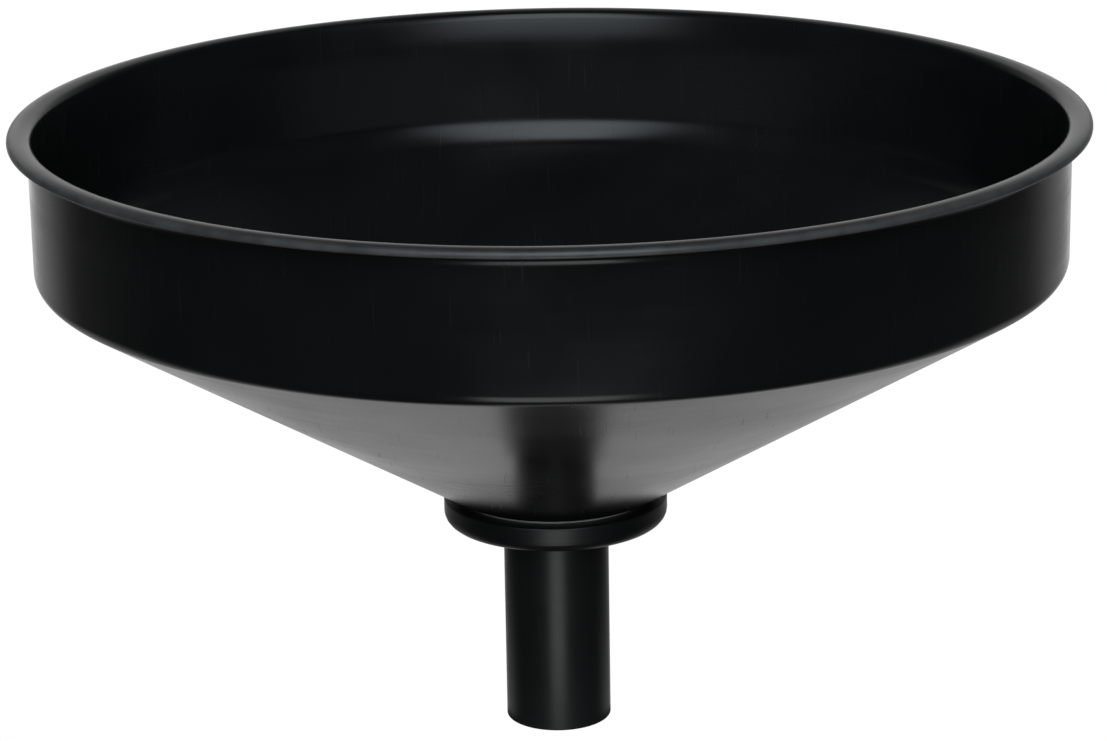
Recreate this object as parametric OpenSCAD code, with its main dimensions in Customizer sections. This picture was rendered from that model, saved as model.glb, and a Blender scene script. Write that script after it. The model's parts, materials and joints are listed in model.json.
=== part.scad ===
// Oil drain pan: a lipped round bowl that narrows to a drain tube, with a lift-out strainer.
// All sizes are millimetres. The bowl's axis is Z, and z = 0 is the drain tube's lower end.

/* [Bowl] */
// Outside diameter of the lip
rim_d = 457; // [430:1:480]
// Height of the whole pan, from the tube's lower end to the top of the lip
overall_h = 274; // [268:0.5:285]
// How far the lip stands out past the wall
lip_reach = 8.4; // [8:0.1:11]
// Depth of the lip's outer edge
lip_h = 4.2; // [3.5:0.1:6]
// Thickness of the bowl's wall and cone
wall_t = 4; // [3:0.5:5]
// Height of the upright wall, from its lower corner to the top of the lip
wall_h = 62.3; // [55:0.1:75]
// Height of the flat land round the outlet, above the tube's lower end
land_z = 104.5; // [98:0.5:110]
// Radius of that flat land, on the underside
land_r = 44.6; // [43:0.1:47]

/* [Drain tube] */
// Outside diameter of the drain tube
tube_d = 46; // [44:0.5:48]
// Wall thickness of the drain tube
tube_t = 3.5; // [3.5:0.25:4.5]

/* [Outlet fitting] */
// Outside diameter of the fitting's threaded neck
neck_d = 60; // [58:0.5:61]
// Outside diameter of the fitting's flange, inside the bowl
flange_d = 84; // [76:1:84]
// Outside diameter of the lock nut
nut_d = 97.6; // [90:0.2:104]
// Height of the lock nut
nut_h = 11.7; // [10:0.1:14]
// Number of pin spanner holes in the lock nut's lower face
pin_holes = 4; // [2:1:8]

/* [Strainer] */
// Radius of the middle of the strainer's rolled edge
strainer_r = 95; // [90:1:110]
// Thickness of the strainer's perforated sheet
sheet_t = 1.2; // [1:0.1:1.5]
// Diameter of the holes in the sheet
hole_d = 7; // [4:0.5:8]
// Distance from one ring of holes to the next
hole_pitch = 12; // [12:0.5:12.5]
// Height of the lifting knob
knob_h = 24; // [20:1:30]

/* [Hidden] */

// bowl
rim_r = rim_d / 2;
wall_r = rim_r - lip_reach;
corner_z = overall_h - wall_h;
corner_fillet = 6;
inner_fillet = 16;
lip_cove = 5;
lip_crest = 4.5;
edge_drop = 1.6;
mouth_drop = 1.8;
mouth_flare = 2.2;
mouth_h = 16;
cone_slope = (corner_z - land_z) / (wall_r - land_r);
cone_angle = atan(cone_slope);
land_t = 4.5;
// height of the cone's inner face at radius r
function inner_cone_z(r) = land_z + (r - land_r) * cone_slope + wall_t / cos(cone_angle);
inner_land_z = land_z + land_t;
inner_land_r = land_r + (inner_land_z - inner_cone_z(land_r)) / cone_slope;
inner_wall_r = wall_r - wall_t;

// clearances
fit_gap = 0.05;
loose_gap = 0.4;
seat_gap = 0.3;

// outlet fitting, from the bottom up
neck_r = neck_d / 2;
slip_t = 1.5;
gasket_t = 2;
nut_z = land_z - slip_t - nut_h;
neck_z = nut_z + 0.6;
flange_z = inner_land_z + gasket_t;
flange_t = 4.5;
bowl_hole_r = neck_r + loose_gap;
thread_pitch = 3;
thread_depth = 1.3;
thread_turns = 4;
nut_round = 5.3;
pin_r = 2.5;
pin_circle_r = 37;
pin_depth = 5;
wrench_notches = 4;

// drain tube
tube_r = tube_d / 2;
bore_r = tube_r - tube_t;
spigot_r = tube_r - 0.6;
socket_r = spigot_r + 0.1;
shoulder_z = neck_z - fit_gap;
tube_top_z = inner_land_z;
groove_z = shoulder_z + 7;
groove_h = 2.2;
groove_r = spigot_r - 1.5;
o_ring_r = 0.75;

// strainer
wire_r = 2;
hem_r = wire_r + fit_gap + sheet_t;
// the rolled edge sits at least seat_gap above the cone, at a whole half millimetre
hem_z = ceil(2 * (inner_cone_z(strainer_r) + (hem_r + seat_gap) / cos(cone_angle))) / 2;
sheet_z = hem_z + hem_r - sheet_t;
stud_r = 3;
stud_len = 30;
stud_foot = 10;
washer_r = 9;
washer_t = 1.2;
spring_t = 1.6;
nut_flats = 10;
hex_t = 5;
knob_r = 16;

// ---- outlines ----
// the arc that rounds corner b, between the points a and c before and after it
function corner_arc(a, b, c, r, steps) =
    let (u = (a - b) / norm(a - b),
        v = (c - b) / norm(c - b),
        half = acos(u * v) / 2,
        centre = b + (u + v) / norm(u + v) * r / sin(half),
        first = b + u * r / tan(half) - centre,
        last = b + v * r / tan(half) - centre,
        start = atan2(first.y, first.x),
        turn = atan2(last.y, last.x) - start,
        sweep = turn > 180 ? turn - 360 : turn < -180 ? turn + 360 : turn)
    [for (i = [0 : steps]) centre + r * [cos(start + sweep * i / steps), sin(start + sweep * i / steps)]];

// an outline of [radius, height, rounding] corners, each one rounded where its rounding is above 0
function rounded(corners, steps = 6) =
    let (n = len(corners), p = [for (k = corners) [k[0], k[1]]])
    [for (i = [0 : n - 1])
        each corners[i][2] > 0
            ? corner_arc(p[(i + n - 1) % n], p[i], p[(i + 1) % n], corners[i][2], steps)
            : [p[i]]];

// a piece turned about the bowl's axis from such an outline
module turned(corners) {
    rotate_extrude($fn = 180) polygon(rounded(corners));
}

// a flat ring from z to z + h
module ring(inner, outer, z, h) {
    translate([0, 0, z]) linear_extrude(h) difference() {
        circle(outer, $fn = 96);
        circle(inner, $fn = 96);
    }
}

// ---- bowl ----
module bowl() {
    color([0.06, 0.06, 0.065]) turned([
        [bowl_hole_r, land_z, 0],
        [land_r, land_z, 5],
        [wall_r, corner_z, corner_fillet],
        [wall_r, overall_h - lip_h, lip_cove],
        [rim_r, overall_h - lip_h, 1],
        [rim_r, overall_h - edge_drop, 2],
        [rim_r - lip_crest, overall_h, 8],
        [inner_wall_r + mouth_flare, overall_h - mouth_drop, 4],
        [inner_wall_r, overall_h - mouth_h, 80],
        [inner_wall_r, corner_z + wall_t * tan(45 - cone_angle / 2), inner_fillet],
        [inner_land_r, inner_land_z, 4],
        [bowl_hole_r, inner_land_z, 0]]);
}

// ---- outlet fitting and drain tube ----
// one turn of thread on the neck, as a ridge with a flat crest
function ridge(z) = [
    [neck_r - thread_depth, z],
    [neck_r, z + thread_pitch * 0.3],
    [neck_r, z + thread_pitch * 0.6],
    [neck_r - thread_depth, z + thread_pitch * 0.9]];

module through_fitting() {
    top_z = flange_z + flange_t;
    color([0.08, 0.08, 0.09]) difference() {
        rotate_extrude($fn = 128) polygon(concat(
            [[socket_r, neck_z], [neck_r - thread_depth, neck_z]],
            [for (i = [0 : thread_turns - 1]) each ridge(neck_z + 0.4 + i * thread_pitch)],
            [[neck_r, land_z], [neck_r, flange_z]],
            [[flange_d / 2, flange_z], [flange_d / 2, top_z - 2], [flange_d / 2 - 5, top_z]],
            [[bore_r + 4, top_z], [bore_r, top_z - 3]],
            [[bore_r, tube_top_z + 0.3], [socket_r, tube_top_z + 0.3]]));
        for (i = [0 : wrench_notches - 1])
            rotate(i * 360 / wrench_notches)
                translate([flange_d / 2 - 3, -4, top_z - 2.5]) cube([6, 8, 5]);
    }
}

module inner_gasket() {
    color([0.15, 0.15, 0.15]) ring(bowl_hole_r, flange_d / 2 - 1, inner_land_z, gasket_t);
}

module slip_washer() {
    color([0.75, 0.74, 0.7]) ring(bowl_hole_r, land_r - 3, land_z - slip_t, slip_t);
}

module lock_nut() {
    color([0.07, 0.07, 0.075]) difference() {
        turned([
            [neck_r + fit_gap, nut_z, 0],
            [nut_d / 2, nut_z, nut_round],
            [nut_d / 2, nut_z + nut_h, 0.8],
            [neck_r + fit_gap, nut_z + nut_h, 0]]);
        for (i = [0 : pin_holes - 1])
            rotate(i * 360 / pin_holes)
                translate([pin_circle_r, 0, nut_z - 1])
                    cylinder(r = pin_r, h = pin_depth + 1, $fn = 32);
    }
}

module drain_tube() {
    color([0.07, 0.07, 0.075]) difference() {
        union() {
            cylinder(r = tube_r, h = shoulder_z, $fn = 96);
            cylinder(r = spigot_r, h = tube_top_z, $fn = 96);
        }
        translate([0, 0, -1]) cylinder(r = bore_r, h = tube_top_z + 2, $fn = 96);
        ring(groove_r, spigot_r + 1, groove_z, groove_h);
    }
}

module tube_o_ring() {
    color([0.12, 0.12, 0.12]) rotate_extrude($fn = 96)
        translate([groove_r + o_ring_r + fit_gap, groove_z + groove_h / 2])
            circle(o_ring_r, $fn = 24);
}

// ---- strainer ----
module strainer_plate() {
    rings = floor((strainer_r - hem_r - hole_d) / hole_pitch);
    color([0.62, 0.63, 0.65]) union() {
        translate([0, 0, sheet_z]) linear_extrude(sheet_t) difference() {
            circle(strainer_r, $fn = 128);
            circle(stud_r + 0.3, $fn = 32);
            for (k = [2 : rings], i = [0 : 6 * k - 1])
                rotate(i * 60 / k) translate([k * hole_pitch, 0]) circle(d = hole_d, $fn = 20);
        }
        rotate_extrude($fn = 128) translate([strainer_r, hem_z]) difference() {
            circle(hem_r, $fn = 48);
            circle(hem_r - sheet_t, $fn = 48);
            translate([-hem_r - 1, -0.5]) square([hem_r + 1 - wire_r / 2, 1]);
        }
    }
}

module edge_wire() {
    color([0.55, 0.56, 0.58]) rotate_extrude($fn = 128)
        translate([strainer_r, hem_z]) circle(wire_r, $fn = 32);
}

module lift_knob() {
    base_z = sheet_z + sheet_t;
    color([0.1, 0.1, 0.1]) difference() {
        rotate_extrude($fn = 72) polygon(rounded([
            [0, base_z, 0],
            [knob_r * 0.62, base_z, 1],
            [knob_r * 0.42, base_z + knob_h * 0.42, 6],
            [knob_r, base_z + knob_h * 0.6, 3],
            [knob_r, base_z + knob_h * 0.82, 4],
            [knob_r * 0.5, base_z + knob_h, 6],
            [0, base_z + knob_h, 0]]));
        translate([0, 0, base_z - 1])
            cylinder(r = stud_r + fit_gap, h = stud_len - stud_foot - sheet_t + 1.5, $fn = 32);
    }
}

module knob_stud() {
    color([0.7, 0.71, 0.73]) translate([0, 0, sheet_z - stud_foot])
        cylinder(r = stud_r, h = stud_len, $fn = 32);
}

module flat_washer() {
    color([0.7, 0.71, 0.73]) ring(stud_r + 0.2, washer_r, sheet_z - washer_t, washer_t);
}

module lock_washer() {
    color([0.5, 0.51, 0.53]) difference() {
        ring(stud_r + 0.1, stud_r + 2.2, sheet_z - washer_t - spring_t, spring_t);
        translate([stud_r - 1, -0.6, sheet_z - washer_t - spring_t - 1]) cube([5, 1.2, spring_t + 2]);
    }
}

module hex_nut() {
    color([0.7, 0.71, 0.73])
        translate([0, 0, sheet_z - washer_t - spring_t - hex_t]) difference() {
            cylinder(d = nut_flats / cos(30), h = hex_t, $fn = 6);
            translate([0, 0, -1]) cylinder(r = stud_r + fit_gap, h = hex_t + 2, $fn = 32);
        }
}

bowl();
through_fitting();
inner_gasket();
slip_washer();
lock_nut();
drain_tube();
tube_o_ring();
strainer_plate();
edge_wire();
lift_knob();
knob_stud();
flat_washer();
lock_washer();
hex_nut();
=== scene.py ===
"""Studio picture of an oil drain pan: a black moulded bowl on a drain tube, with a lift-out strainer."""

import json
import math

import bmesh
import bpy
from mathutils import Matrix, Vector


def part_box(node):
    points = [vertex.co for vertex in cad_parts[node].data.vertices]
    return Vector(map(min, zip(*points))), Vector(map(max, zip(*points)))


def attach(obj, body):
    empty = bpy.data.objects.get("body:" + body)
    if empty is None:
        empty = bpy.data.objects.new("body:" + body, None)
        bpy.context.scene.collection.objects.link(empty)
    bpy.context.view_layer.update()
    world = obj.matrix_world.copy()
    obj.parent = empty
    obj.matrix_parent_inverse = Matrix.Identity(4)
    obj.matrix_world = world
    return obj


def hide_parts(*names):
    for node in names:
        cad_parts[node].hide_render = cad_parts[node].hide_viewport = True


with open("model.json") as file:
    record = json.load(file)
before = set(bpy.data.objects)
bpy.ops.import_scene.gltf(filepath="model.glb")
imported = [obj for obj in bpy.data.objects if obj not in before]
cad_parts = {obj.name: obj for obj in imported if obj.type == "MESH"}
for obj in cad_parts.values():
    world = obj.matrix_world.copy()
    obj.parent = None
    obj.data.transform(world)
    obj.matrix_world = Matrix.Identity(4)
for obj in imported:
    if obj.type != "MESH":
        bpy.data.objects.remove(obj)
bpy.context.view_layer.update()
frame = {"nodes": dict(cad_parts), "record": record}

MM = 0.001

# ---------------------------------------------------------------- sizes, from the frame
BOWL_LOW, BOWL_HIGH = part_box("bowl")
TUBE_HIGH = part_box("drain_tube")[1]
NUT_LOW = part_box("lock_nut")[0]
RIM_R = BOWL_HIGH[0]
CREST_CUT = 0.44 * MM  # how far the crest's rounding takes the lip below its corner
TOP_Z = BOWL_HIGH[2] + CREST_CUT
LAND_Z = BOWL_LOW[2]
TUBE_R = TUBE_HIGH[0]
TUBE_TOP_Z = TUBE_HIGH[2]
SHOULDER_Z = NUT_LOW[2] + 0.5 * MM  # where the tube steps in to its spigot, just inside the lock nut

# ---------------------------------------------------------------- the bowl and the tube, as in the CAD
LIP_REACH = 8.4 * MM
LIP_H = 4.2 * MM
LIP_COVE = 5 * MM
LIP_CREST = 4.5 * MM  # from the lip's edge in to its highest line
CREST_ROUND = 8 * MM
EDGE_DROP = 1.6 * MM  # from the crest down to the lip's edge
FLARE = 2.2 * MM
FLARE_DROP = 1.8 * MM
FLARE_H = 16 * MM
FLARE_ROUND = 80 * MM
INNER_ROUND = 16 * MM
WALL_T = 4 * MM
WALL_H = 62.3 * MM
LAND_R = 44.6 * MM
LAND_T = 4.5 * MM
LAND_ROUND = 5 * MM
OUTLET_R = 30.4 * MM
CORNER_ROUND = 6 * MM
TUBE_T = 3.5 * MM
SPIGOT_STEP = 0.6 * MM
WALL_R = RIM_R - LIP_REACH
CORNER_Z = TOP_Z - WALL_H
CONE_SLOPE = (CORNER_Z - LAND_Z) / (WALL_R - LAND_R)
CONE_ANGLE = math.atan(CONE_SLOPE)

# ---------------------------------------------------------------- surfaces, lights and stage, in metres
SHARP_ANGLE = math.radians(38)  # edges that bend more than this are shaded sharp
SCUFF_AND_HIGHLIGHT_R = RIM_R - 2.6 * MM  # the lip is painted lighter grey outside this radius: scuffs, and a painted highlight along the lip's band
SCUFF_AND_HIGHLIGHT_FADE = 2 * MM
SCUFF_AND_HIGHLIGHT_GREY = (0.11, 0.11, 0.11)
PAPER_WHITE = 1.02  # what the camera sees round the pan
SWEEP_COLOUR = (0.8, 0.8, 0.8, 1)
FRONT_COLOUR = (0.84, 0.94, 1.0, 1)
FRONT_POWER = 2.3
AMBIENT = 0.02
FLOOR_Z = -2 * MM
FLOOR_HALF = 12
STAND_R = 1.4 * TUBE_R
STAND_H = 0.4
STAND_TOP_Z = -5 * MM


# ---------------------------------------------------------------- mesh helpers
def rounded(corners, steps=8):
    """An outline from (radius, height, rounding) corners, each an arc where its rounding is above 0."""
    points = []
    count = len(corners)
    for i, (x, y, r) in enumerate(corners):
        here = Vector((x, y))
        if r <= 0:
            points.append(here)
            continue
        to_last = (Vector(corners[i - 1][:2]) - here).normalized()
        to_next = (Vector(corners[(i + 1) % count][:2]) - here).normalized()
        half = to_last.angle(to_next) / 2
        centre = here + (to_last + to_next).normalized() * r / math.sin(half)
        start = here + to_last * r / math.tan(half) - centre
        end = here + to_next * r / math.tan(half) - centre
        first = math.atan2(start.y, start.x)
        sweep = (math.atan2(end.y, end.x) - first + math.pi) % (2 * math.pi) - math.pi
        for k in range(steps + 1):
            a = first + sweep * k / steps
            points.append(centre + r * Vector((math.cos(a), math.sin(a))))
    return points


def new_object(bm, name):
    """Turns a bmesh into an object in the scene."""
    mesh = bpy.data.meshes.new(name)
    bm.to_mesh(mesh)
    bm.free()
    thing = bpy.data.objects.new(name, mesh)
    bpy.context.scene.collection.objects.link(thing)
    return thing


def finish_mesh(bm, name, body):
    """Turns a bmesh into a smooth-shaded piece with sharp edges kept, riding on a body."""
    bmesh.ops.remove_doubles(bm, verts=bm.verts, dist=1e-7)
    bmesh.ops.recalc_face_normals(bm, faces=bm.faces)
    for face in bm.faces:
        face.smooth = True
    for edge in bm.edges:
        edge.smooth = len(edge.link_faces) != 2 or edge.calc_face_angle(0) < SHARP_ANGLE
    piece = new_object(bm, name)
    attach(piece, body)
    return piece


def lathe(name, outline, body, segments=288):
    """A closed solid turned about Z from an outline of (radius, height) points."""
    bm = bmesh.new()
    rings = []
    for point in outline:
        ring = []
        for k in range(segments):
            a = 2 * math.pi * k / segments
            ring.append(bm.verts.new((point.x * math.cos(a), point.x * math.sin(a), point.y)))
        rings.append(ring)
    for i, ring in enumerate(rings):
        after = rings[(i + 1) % len(rings)]
        for k in range(segments):
            m = (k + 1) % segments
            bm.faces.new((ring[k], ring[m], after[m], after[k]))
    return finish_mesh(bm, name, body)


# ---------------------------------------------------------------- material helpers
class Nodes:
    """Builds a node tree with short calls."""

    def __init__(self, tree):
        self.tree = tree
        tree.nodes.clear()

    def add(self, kind, **values):
        """A node with its attributes and sockets set by name, with _ for a space."""
        node = self.tree.nodes.new(kind)
        for key, value in values.items():
            if hasattr(node, key):
                setattr(node, key, value)
            else:
                node.inputs[key.replace("_", " ")].default_value = value
        return node

    def link(self, source, target):
        self.tree.links.new(source, target)

    def math(self, operation, a, b=None):
        node = self.add("ShaderNodeMath", operation=operation)
        for socket, value in zip(node.inputs, (a, b)):
            if value is None:
                continue
            if isinstance(value, bpy.types.NodeSocket):
                self.link(value, socket)
            else:
                socket.default_value = value
        return node.outputs[0]

    def ramp(self, value, low, high, to_low=0.0, to_high=1.0, smooth=False):
        """Goes from to_low to to_high as the value goes from low to high, and is level on both sides."""
        node = self.add("ShaderNodeMapRange", From_Min=low, From_Max=high, To_Min=to_low, To_Max=to_high)
        if smooth:
            node.interpolation_type = "SMOOTHSTEP"
        self.link(value, node.inputs["Value"])
        return node.outputs["Result"]


def start_material(name, **values):
    """A material with a Principled shader, and the piece's own coordinates."""
    material = bpy.data.materials.new(name)
    material.use_nodes = True
    n = Nodes(material.node_tree)
    out = n.add("ShaderNodeOutputMaterial")
    shader = n.add("ShaderNodeBsdfPrincipled", **values)
    n.link(shader.outputs[0], out.inputs["Surface"])
    where = n.add("ShaderNodeTexCoord").outputs["Object"]
    return material, n, shader, where


def noise(n, where, scale, detail=2.0):
    """Soft noise between 0 and 1."""
    node = n.add("ShaderNodeTexNoise", Scale=scale, Detail=detail)
    n.link(where, node.inputs["Vector"])
    return node.outputs["Fac"]


def split(n, where):
    """The three parts of a place, a direction or a colour."""
    parts = n.add("ShaderNodeSeparateXYZ")
    n.link(where, parts.inputs[0])
    return parts.outputs


def axis_distance(n, where):
    """How far a place is from the pan's axis."""
    x, y, _ = split(n, where)
    return n.math("SQRT", n.math("ADD", n.math("MULTIPLY", x, x), n.math("MULTIPLY", y, y)))


def round_lines(n, where, across, along):
    """Noise drawn out round the pan's axis, as moulding and wiping leave it."""
    x, y, z = split(n, where)
    radius = axis_distance(n, where)
    safe = n.math("MAXIMUM", radius, 0.001)
    turned = n.add("ShaderNodeCombineXYZ")
    n.link(n.math("MULTIPLY", n.math("DIVIDE", x, safe), along), turned.inputs[0])
    n.link(n.math("MULTIPLY", n.math("DIVIDE", y, safe), along), turned.inputs[1])
    n.link(n.math("MULTIPLY", n.math("ADD", z, radius), across), turned.inputs[2])
    return noise(n, turned.outputs[0], 1.0, 3.0)


def scratches(n, where, turn, low, high):
    """Sparse fine lines in one direction, 1 on a line and 0 off it."""
    mapping = n.add("ShaderNodeMapping")
    mapping.inputs["Rotation"].default_value = turn
    mapping.inputs["Scale"].default_value = (900, 25, 25)
    n.link(where, mapping.inputs["Vector"])
    return n.ramp(noise(n, mapping.outputs[0], 1.0, 1.0), low, high)


def mixed(n, factor, base, top):
    """A colour between two, each given as a colour or a socket."""
    node = n.add("ShaderNodeMix", data_type="RGBA")
    n.link(factor, node.inputs["Factor"])
    for key, value in (("A", base), ("B", top)):
        if isinstance(value, bpy.types.NodeSocket):
            n.link(value, node.inputs[key])
        else:
            node.inputs[key].default_value = (*value, 1)
    return node.outputs["Result"]


def add_bump(n, shader, height, strength, distance):
    """Lets a height roughen the surface."""
    bump = n.add("ShaderNodeBump", Strength=strength, Distance=distance)
    n.link(height, bump.inputs["Height"])
    n.link(bump.outputs[0], shader.inputs["Normal"])


def plastic(name, colour, roughness, scuffed_and_lit_from=None):
    """Moulded plastic; past the given radius it is painted a lighter grey: partly scuffs, as a lip's edge
    has, and partly a painted highlight along the lip.
    """
    spread = 0.05
    worn = 0.06
    material, n, shader, where = start_material(name, IOR=1.5)
    cloud = n.ramp(noise(n, where, 14.0, 4.0), 0.3, 0.7)
    lines = n.ramp(round_lines(n, where, 260.0, 1.6), 0.35, 0.7)
    one_way = scratches(n, where, (0.3, 0.8, 0.5), 0.70, 0.78)
    marks = n.math("MAXIMUM", one_way, scratches(n, where, (1.1, 0.2, 2.2), 0.70, 0.78))
    paler = n.math("ADD", n.math("MULTIPLY", cloud, 0.7), n.math("MULTIPLY", marks, 0.6))
    shade = mixed(n, paler, [c * 0.8 for c in colour], [c * 1.4 for c in colour])
    dull = n.math("MULTIPLY", n.math("ADD", marks, n.math("MULTIPLY", lines, 0.5)), worn)
    # the lip's lighter band: patchy scuffs, and a painted highlight that brightens the band all round
    if scuffed_and_lit_from:
        patchy = n.ramp(noise(n, where, 90.0, 5.0), 0.25, 0.6, 0.45, 1.0)
        edge = n.ramp(axis_distance(n, where), scuffed_and_lit_from, scuffed_and_lit_from + SCUFF_AND_HIGHLIGHT_FADE)
        scuff_and_highlight = n.math("MULTIPLY", edge, patchy)
        shade = mixed(n, scuff_and_highlight, shade, SCUFF_AND_HIGHLIGHT_GREY)
        dull = n.math("ADD", dull, n.math("MULTIPLY", scuff_and_highlight, 0.15))
    n.link(shade, shader.inputs["Base Color"])
    base = n.ramp(cloud, 0.0, 1.0, roughness - spread, roughness + spread)
    n.link(n.math("ADD", base, dull), shader.inputs["Roughness"])
    skin = n.math("ADD", noise(n, where, 1400.0), n.math("MULTIPLY", marks, -0.5))
    add_bump(n, shader, skin, 0.5, 0.00002)
    return material


def metal(name, colour, roughness, spangle=0.0):
    """Plated or drawn metal; spangle is how strongly the crystals of a zinc coat show."""
    material, n, shader, where = start_material(name, Metallic=1.0)
    cloud = noise(n, where, 70.0, 5.0)
    cells = n.add("ShaderNodeTexVoronoi", Scale=220.0)
    n.link(where, cells.inputs["Vector"])
    crystal = n.math("MULTIPLY", split(n, cells.outputs["Color"])[0], spangle)
    marks = scratches(n, where, (0.2, 0.1, 0.9), 0.62, 0.74)
    paler = n.math("ADD", n.math("MULTIPLY", cloud, 1.0 - spangle), crystal)
    shade = mixed(n, paler, [c * 0.72 for c in colour], [min(1, c * 1.1) for c in colour])
    n.link(shade, shader.inputs["Base Color"])
    base = n.ramp(cloud, 0.3, 0.7, roughness - 0.06, roughness + 0.08)
    uneven = n.math("ADD", n.math("MULTIPLY", crystal, 0.15), n.math("MULTIPLY", marks, -0.08))
    n.link(n.math("ADD", base, uneven), shader.inputs["Roughness"])
    skin = n.math("ADD", noise(n, where, 900.0), n.math("MULTIPLY", marks, -0.5))
    add_bump(n, shader, skin, 0.4, 0.00003)
    return material


# ---------------------------------------------------------------- pieces
def make_bowl():
    """The bowl's shell: its outside from the outlet up to the lip, then its inside back down."""
    inner_r = WALL_R - WALL_T
    inner_land_z = LAND_Z + LAND_T
    inner_land_r = LAND_R - (WALL_T / math.cos(CONE_ANGLE) - LAND_T) / CONE_SLOPE
    inner_corner_z = CORNER_Z + WALL_T * math.tan(math.pi / 4 - CONE_ANGLE / 2)
    outline = rounded([
        (OUTLET_R, LAND_Z, 0.5 * MM),
        (LAND_R, LAND_Z, LAND_ROUND),
        (WALL_R, CORNER_Z, CORNER_ROUND),
        (WALL_R, TOP_Z - LIP_H, LIP_COVE),
        (RIM_R, TOP_Z - LIP_H, 1 * MM),
        (RIM_R, TOP_Z - EDGE_DROP, 2 * MM),
        (RIM_R - LIP_CREST, TOP_Z, CREST_ROUND),
        (inner_r + FLARE, TOP_Z - FLARE_DROP, 4 * MM),
        (inner_r, TOP_Z - FLARE_H, FLARE_ROUND),
        (inner_r, inner_corner_z, INNER_ROUND),
        (inner_land_r, inner_land_z, 4 * MM),
        (OUTLET_R, inner_land_z, 0.5 * MM),
    ])
    piece = lathe("bowl_shell", outline, "pan")
    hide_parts("bowl")
    return piece


def make_tube():
    """The drain tube: its outside up to the shoulder, the spigot above it, then the bore."""
    bore_r = TUBE_R - TUBE_T
    spigot_r = TUBE_R - SPIGOT_STEP
    outline = rounded([
        (bore_r, 0, 0.5 * MM),
        (TUBE_R, 0, 0.8 * MM),
        (TUBE_R, SHOULDER_Z, 0.3 * MM),
        (spigot_r, SHOULDER_Z, 0),
        (spigot_r, TUBE_TOP_Z, 0.3 * MM),
        (bore_r, TUBE_TOP_Z, 0.3 * MM),
    ], steps=4)
    piece = lathe("drain_stem", outline, "pan", segments=128)
    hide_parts("drain_tube")
    return piece


def shade_cad_nodes(materials):
    """Gives each CAD node the material of its slot in the record."""
    for row in frame["record"]["subparts"]:
        node = frame["nodes"][row["node"]]
        for slot in node.material_slots:
            slot.material = materials[row["material_slot"]]


# ---------------------------------------------------------------- stage, lights and camera
def make_floor():
    """A white floor that only the camera sees."""
    bm = bmesh.new()
    bmesh.ops.create_grid(bm, x_segments=2, y_segments=2, size=FLOOR_HALF)
    floor = new_object(bm, "floor")
    floor.location.z = FLOOR_Z
    material = bpy.data.materials.new("floor_white")
    material.use_nodes = True
    n = Nodes(material.node_tree)
    out = n.add("ShaderNodeOutputMaterial")
    glow = n.add("ShaderNodeEmission", Strength=PAPER_WHITE)
    n.link(glow.outputs[0], out.inputs["Surface"])
    floor.data.materials.append(material)
    floor.visible_diffuse = False
    floor.visible_glossy = False
    floor.visible_shadow = False
    floor.visible_transmission = False


def sweep_light(n, y, z, ahead):
    """The white sweep's strength: dim below, bright behind, most just under the horizon, none overhead."""
    low = n.ramp(z, -0.52, -0.26, 0.5, 0.0, smooth=True)
    below = n.math("MULTIPLY", low, n.ramp(y, 0.15, 0.6, smooth=True))
    wide = n.ramp(ahead, 0.55, 0.90, 0.0, 0.28, smooth=True)
    narrow = n.ramp(ahead, 0.88, 0.99, 0.0, 0.5, smooth=True)
    band_foot = n.ramp(z, -0.42, -0.24, smooth=True)
    band_top = n.ramp(z, -0.15, 0.10, 0.8, 0.0, smooth=True)
    band = n.math("ADD", n.math("MULTIPLY", band_foot, band_top), 1.0)
    spread = n.math("MULTIPLY", n.math("ADD", wide, narrow), band)
    height = n.ramp(z, 0.25, 0.75, 1.0, 0.35, smooth=True)
    roof = n.ramp(z, 0.62, 0.88, 1.0, 0.0, smooth=True)
    behind = n.math("MULTIPLY", n.math("MULTIPLY", spread, height), roof)
    return n.math("MAXIMUM", below, behind)


def front_light(n, z, ahead):
    """The strength of a soft box in front of the pan, from about the horizon to nearly overhead."""
    width = n.ramp(ahead, -0.80, -0.99, smooth=True)
    low = n.ramp(z, -0.07, 0.34, smooth=True)
    high = n.ramp(z, 0.93, 1.0, 1.0, 0.0, smooth=True)
    return n.math("MULTIPLY", n.math("MULTIPLY", width, low), high)


def make_world():
    """White to the camera; to the object, a white sweep below and behind, and a soft front light."""
    world = bpy.data.worlds.new("studio")
    bpy.context.scene.world = world
    world.use_nodes = True
    n = Nodes(world.node_tree)
    out = n.add("ShaderNodeOutputWorld")
    _, y, z = split(n, n.add("ShaderNodeTexCoord").outputs["Generated"])
    # z is 1 straight up; level is a direction's length seen from above, kept over 0;
    # ahead is 1 straight behind the pan and -1 straight in front of it, at any height
    level = n.math("SQRT", n.math("SUBTRACT", 1.0, n.math("MULTIPLY", n.math("MULTIPLY", z, z), 0.999)))
    ahead = n.math("DIVIDE", y, level)
    white_part = n.add("ShaderNodeBackground", Color=SWEEP_COLOUR)
    n.link(n.math("ADD", sweep_light(n, y, z, ahead), AMBIENT), white_part.inputs["Strength"])
    front_part = n.add("ShaderNodeBackground", Color=FRONT_COLOUR)
    n.link(n.math("MULTIPLY", front_light(n, z, ahead), FRONT_POWER), front_part.inputs["Strength"])
    studio = n.add("ShaderNodeAddShader")
    n.link(white_part.outputs[0], studio.inputs[0])
    n.link(front_part.outputs[0], studio.inputs[1])
    white = n.add("ShaderNodeBackground", Color=(1, 1, 1, 1), Strength=PAPER_WHITE)
    rays = n.add("ShaderNodeLightPath")
    mix = n.add("ShaderNodeMixShader")
    n.link(rays.outputs["Is Camera Ray"], mix.inputs[0])
    n.link(studio.outputs[0], mix.inputs[1])
    n.link(white.outputs[0], mix.inputs[2])
    n.link(mix.outputs[0], out.inputs["Surface"])


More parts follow.
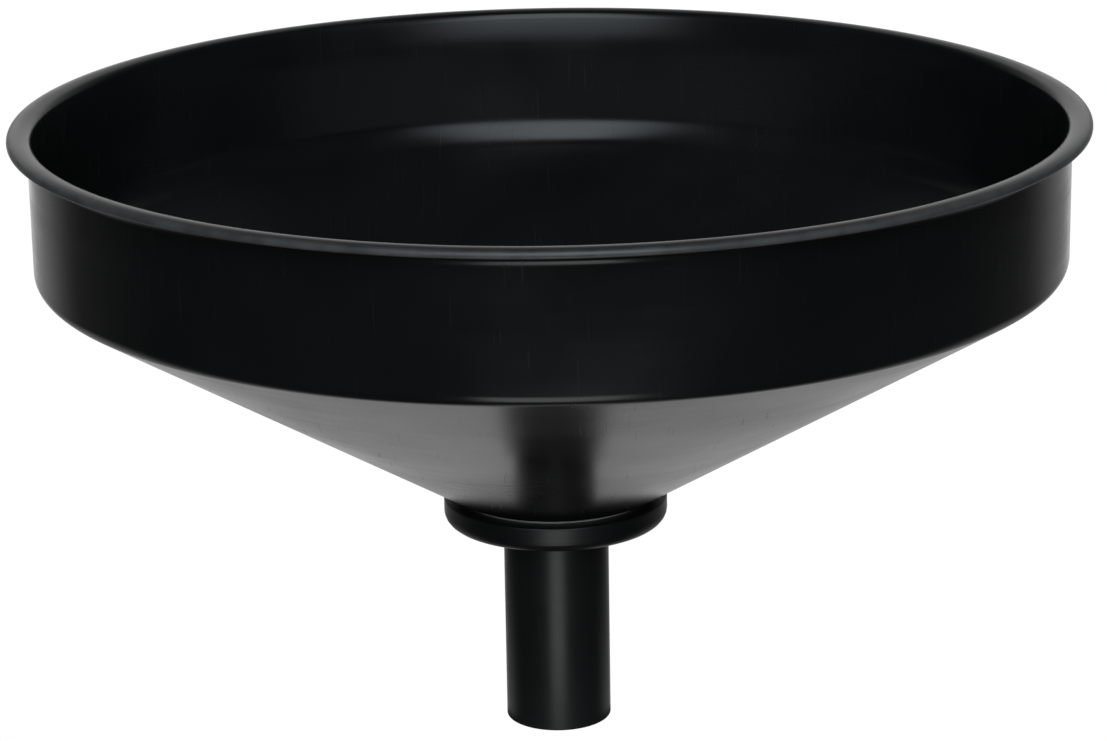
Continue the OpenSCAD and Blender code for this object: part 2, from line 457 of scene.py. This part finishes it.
def make_stand():
    """The dark stem of the pan's stand, unseen by the camera: put there only to darken the cone's
    reflection, a painted reflection; its faint glow is painted light that sets how dark that reflection
    shows.
    """
    bm = bmesh.new()
    bmesh.ops.create_cone(
        bm, cap_ends=True, segments=48, radius1=STAND_R, radius2=STAND_R, depth=STAND_H,
        matrix=Matrix.Translation((0, 0, STAND_TOP_Z - STAND_H / 2)),
    )
    stand = new_object(bm, "stand")
    material = start_material(
        "stand_black_faint_glow", Base_Color=(0.004, 0.004, 0.004, 1), Roughness=1.0, Specular_IOR_Level=0.0,
        # a faint glow, painted light: the stem is no lamp, the glow only lifts its reflection in the cone
        Emission_Color=(1, 1, 1, 1), Emission_Strength=0.05,
    )[0]
    stand.data.materials.append(material)
    stand.visible_camera = False
    stand.visible_shadow = False


def soft_light(name, place, aim, size, power):
    """A rectangular white light, unseen by the camera."""
    data = bpy.data.lights.new(name, "AREA")
    data.shape = "RECTANGLE"
    data.size, data.size_y = size
    data.energy = power
    lamp = bpy.data.objects.new(name, data)
    lamp.location = place
    lamp.rotation_euler = (Vector(aim) - Vector(place)).to_track_quat("-Z", "Y").to_euler()
    bpy.context.scene.collection.objects.link(lamp)
    lamp.visible_camera = False


def make_camera():
    """The viewpoint: about 16 degrees above the rim's plane and seven rim radii away."""
    distance = 6.95 * RIM_R
    elevation = math.radians(16.05)
    roll = math.radians(0.94)
    aim_below = math.radians(0.750)
    target = Vector((0, 0, TOP_Z - 0.41 * RIM_R))
    place = target + distance * Vector((0, -math.cos(elevation), math.sin(elevation)))
    dip = elevation + aim_below
    forward = Vector((0, math.cos(dip), -math.sin(dip)))
    right = Vector((1, 0, 0))
    up = right.cross(forward)
    right_rolled = right * math.cos(roll) - up * math.sin(roll)
    up_rolled = right * math.sin(roll) + up * math.cos(roll)
    data = bpy.data.cameras.new("camera")
    data.sensor_width = 36
    data.lens = 119.7
    data.clip_end = 50
    camera = bpy.data.objects.new("camera", data)
    axes = Matrix((right_rolled, up_rolled, -forward)).transposed()
    camera.matrix_world = Matrix.Translation(place) @ axes.to_4x4()
    bpy.context.scene.collection.objects.link(camera)
    bpy.context.scene.camera = camera


make_camera()
bpy.context.scene.view_settings.view_transform = "Standard"
make_floor()
make_world()
make_stand()
# the low light that draws the line down the front of the tube
soft_light("front_strip", place=(0, -0.5, -0.13), aim=(0, 0, -0.07), size=(0.24, 0.36), power=0.43)

MATERIALS = {
    # the bowl's lip is painted lighter: scuffs and a painted highlight
    "bowl_plastic": plastic("bowl_black", (0.0095, 0.0095, 0.01), 0.22, scuffed_and_lit_from=SCUFF_AND_HIGHLIGHT_R),
    "fitting_plastic": plastic("fitting_black", (0.009, 0.009, 0.0095), 0.38),
    "tube_plastic": plastic("tube_black", (0.012, 0.012, 0.012), 0.34),
    "gasket_rubber": plastic("gasket_rubber", (0.02, 0.02, 0.02), 0.6),
    "nylon": plastic("natural_nylon", (0.6, 0.58, 0.5), 0.45),
    "sheet_steel": metal("zinc_sheet", (0.62, 0.63, 0.65), 0.35, spangle=0.7),
    "steel_wire": metal("drawn_wire", (0.5, 0.5, 0.52), 0.4),
    "knob_plastic": plastic("knob_black", (0.02, 0.02, 0.02), 0.45),
    "plated_steel": metal("zinc_plate", (0.66, 0.66, 0.67), 0.3),
    "spring_steel": metal("dark_zinc", (0.35, 0.35, 0.36), 0.35),
}
shade_cad_nodes(MATERIALS)
for piece, slot_name in ((make_bowl(), "bowl_plastic"), (make_tube(), "tube_plastic")):
    piece.data.materials.append(MATERIALS[slot_name])
